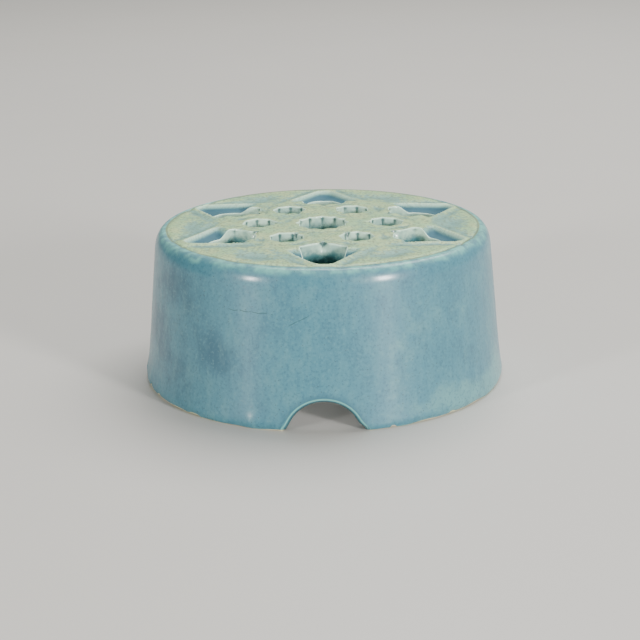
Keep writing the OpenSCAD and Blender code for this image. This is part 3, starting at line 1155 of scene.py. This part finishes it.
def inner_glaze_material():
    """The thin wash of glaze inside: deep blue, darkened as painted shade of the closed room, with sea green
    drips down the wall and the clay's warmth in patches.
    """
    material, tree, look, point, grain = new_glaze(
        "inner_glaze", Patch=60.0, Mottle=260.0, Speck=900.0, Amount=0.7
    )
    drips = noise(tree, stretched(tree, point, (1, 1, 0.1)), 160.0, 2.0, 0.5)
    # painted shade: the inside is mostly deep blue, lighter only in the sea green drips
    base = blend(tree, rgba(look.deep_blue), rgba(look.sea), times(tree, mask(tree, drips, 0.4, 0.7), 0.6))
    base = tinted(tree, base, look.clay, grain["Patches"], 0.18)
    base = tinted(tree, base, look.speck, grain["Specks"], 0.5)
    rough = ranged(tree, grain["Mottle"], 0.15, 0.42)
    finish_glaze(tree, base, rough, grain["Height"], 0.0001)
    return material


def bare_clay_material():
    """Fired clay at the foot: cream, sandy, with grey rubs and dark grains."""
    material, tree, look, _, grain = new_glaze(
        "bare_clay", Patch=90.0, Mottle=700.0, Speck=1300.0, Amount=0.7
    )
    base = blend(tree, rgba(look.clay), rgba(look.tan), times(tree, grain["Patches"], 0.5))
    base = tinted(tree, base, look.speck, grain["Specks"], 0.6)
    base = tinted(tree, base, look.olive, grain["Mottle"], 0.2)
    rough = ranged(tree, grain["Mottle"], 0.1, 0.78)
    finish_glaze(tree, base, rough, grain["Height"], 0.00012)
    return material


# ------------------------------------------------------------ stage


def put_floor():
    """A flat square of floor at the height of the foot, with a soft pale finish."""
    half = 3.0
    corners = np.array([[-1, -1, 0], [1, -1, 0], [1, 1, 0], [-1, 1, 0]]) * half
    mesh = bpy.data.meshes.new("floor")
    mesh.from_pydata(corners, [], [[0, 1, 2, 3]])
    material, tree = new_material("floor")
    tint = rgba(bpy.context.scene.frog_stage.floor)
    grain = noise(tree, object_point(tree), 14.0, 3.0, 0.5)
    base = blend(tree, tint, (1, 1, 1, 1), times(tree, grain, 0.06))
    shader = place(tree, "ShaderNodeBsdfPrincipled", {"Base Color": base, "Roughness": 0.5})
    out = tree.nodes.new("ShaderNodeOutputMaterial")
    tree.links.new(shader.outputs[0], out.inputs["Surface"])
    mesh.materials.append(material)
    floor = bpy.data.objects.new("floor", mesh)
    bpy.context.scene.collection.objects.link(floor)


def put_lamp(name, azimuth, elevation, distance, size, power, tint=(1, 1, 1)):
    """A soft square lamp that looks at the frog from an azimuth, in degrees to the right of the camera."""
    data = bpy.data.lights.new(name, "AREA")
    data.shape = "RECTANGLE"
    data.size, data.size_y = size
    data.energy = power
    data.color = tint
    lamp = bpy.data.objects.new(name, data)
    a, e = np.radians([azimuth, elevation])
    way = Vector((np.sin(a) * np.cos(e), -np.cos(a) * np.cos(e), np.sin(e)))
    lamp.location = way * distance + Vector((0, 0, 0.02))
    lamp.rotation_euler = way.to_track_quat("Z", "Y").to_euler()
    bpy.context.scene.collection.objects.link(lamp)


def put_camera():
    """The camera: straight in front of its aim, tipped to its elevation, with a hair of roll."""
    stage = bpy.context.scene.frog_stage
    data = bpy.data.cameras.new("camera")
    data.lens = stage.lens
    data.sensor_width = 36
    camera = bpy.data.objects.new("camera", data)
    e = stage.elevation
    aim = Vector((-0.95 * MM, 0, 12.77 * MM))
    camera.location = aim + Vector((0, -np.cos(e), np.sin(e))) * stage.distance
    turn = Euler((np.pi / 2 - e, 0, 0)).to_matrix() @ Euler((0, 0, -stage.roll)).to_matrix()
    camera.rotation_euler = turn.to_euler()
    bpy.context.scene.collection.objects.link(camera)
    bpy.context.scene.camera = camera


def put_sky():
    """A pale light from all round, weaker from the left."""
    world = bpy.data.worlds.new("studio")
    world.use_nodes = True
    tree = world.node_tree
    glow = tree.nodes["Background"]
    glow.inputs["Color"].default_value = (0.94, 1.0, 0.93, 1)
    way = place(tree, "ShaderNodeTexCoord").outputs["Generated"]
    across = place(tree, "ShaderNodeSeparateXYZ", {"Vector": way}).outputs["X"]
    sky = bpy.context.scene.frog_stage.sky
    shade = place(tree, "ShaderNodeMapRange", {"Value": across, "From Min": -1.0, "From Max": 0.6})
    shade.inputs["To Min"].default_value = 0.16 * sky
    shade.inputs["To Max"].default_value = 1.1 * sky
    tree.links.new(shade.outputs[0], glow.inputs["Strength"])
    bpy.context.scene.world = world


# ------------------------------------------------------------ operators


class FROG_OT_clay(bpy.types.Operator):
    """Build the cast clay"""

    bl_idname = "object.frog_clay"
    bl_label = "Clay"

    def execute(self, context):
        put_clay("clay_shell", "clay_body", bare_clay_material())
        return {"FINISHED"}


class FROG_OT_side_glaze(bpy.types.Operator):
    """Build the glaze on the wall"""

    bl_idname = "object.frog_side_glaze"
    bl_label = "Side glaze"

    def execute(self, context):
        put_coat("side_coat", SIDE, "side_glaze", side_glaze_material())
        return {"FINISHED"}


class FROG_OT_top_glaze(bpy.types.Operator):
    """Build the glaze on the pressed top"""

    bl_idname = "object.frog_top_glaze"
    bl_label = "Top glaze"

    def execute(self, context):
        put_coat("top_coat", TOP, "top_glaze", top_glaze_material())
        return {"FINISHED"}


class FROG_OT_hole_glazes(bpy.types.Operator):
    """Build the glaze that lines each of the thirteen holes"""

    bl_idname = "object.frog_hole_glazes"
    bl_label = "Hole glazes"

    def execute(self, context):
        material = hole_glaze_material()
        for label, node in enumerate(HOLES):
            put_coat(node.replace("_glaze", "_coat"), label, node, material)
        return {"FINISHED"}


class FROG_OT_inner_glaze(bpy.types.Operator):
    """Build the thin glaze inside the room for the water"""

    bl_idname = "object.frog_inner_glaze"
    bl_label = "Inner glaze"

    def execute(self, context):
        put_coat("inner_coat", ROOM, "inner_glaze", inner_glaze_material())
        return {"FINISHED"}


class FROG_OT_stage(bpy.types.Operator):
    """Set up the floor, the lamps and the camera"""

    bl_idname = "object.frog_stage"
    bl_label = "Stage"

    def execute(self, context):
        stage = context.scene.frog_stage
        put_floor()
        put_lamp("lamp_left", -48, 14, 0.9, (0.09, 0.14), stage.left_power)
        put_lamp("lamp_right", 40, 15, 0.9, (0.13, 0.16), stage.right_power)
        put_lamp("lamp_above", 150, 62, 1.1, (1.0, 0.8), stage.top_power)
        put_sky()
        put_camera()
        return {"FINISHED"}


STEPS = (
    FROG_OT_stage, FROG_OT_clay, FROG_OT_side_glaze, FROG_OT_top_glaze, FROG_OT_hole_glazes,
    FROG_OT_inner_glaze,
)


class FROG_PT_panel(bpy.types.Panel):
    """Lists the steps and the settings in the sidebar"""

    bl_label = "Flower frog"
    bl_idname = "FROG_PT_panel"
    bl_space_type = "VIEW_3D"
    bl_region_type = "UI"
    bl_category = "Flower frog"

    def draw(self, context):
        for step in STEPS:
            self.layout.operator(step.bl_idname)
        for group in (context.scene.frog_form, context.scene.frog_glaze, context.scene.frog_stage):
            box = self.layout.box()
            for key in group.__annotations__:
                box.prop(group, key)


GROUPS = {"frog_form": FROG_PG_form, "frog_glaze": FROG_PG_glaze, "frog_stage": FROG_PG_stage}


def register():
    for cls in (*GROUPS.values(), *STEPS, FROG_PT_panel):
        bpy.utils.register_class(cls)
    for key, cls in GROUPS.items():
        setattr(bpy.types.Scene, key, PointerProperty(type=cls))


def unregister():
    for key in GROUPS:
        delattr(bpy.types.Scene, key)
    for cls in (FROG_PT_panel, *reversed(STEPS), *reversed(GROUPS.values())):
        bpy.utils.unregister_class(cls)


def main():
    register()
    bpy.ops.object.frog_stage()
    bpy.ops.object.frog_clay()
    bpy.ops.object.frog_side_glaze()
    bpy.ops.object.frog_top_glaze()
    bpy.ops.object.frog_hole_glazes()
    bpy.ops.object.frog_inner_glaze()


if __name__ == "__main__":
    main()
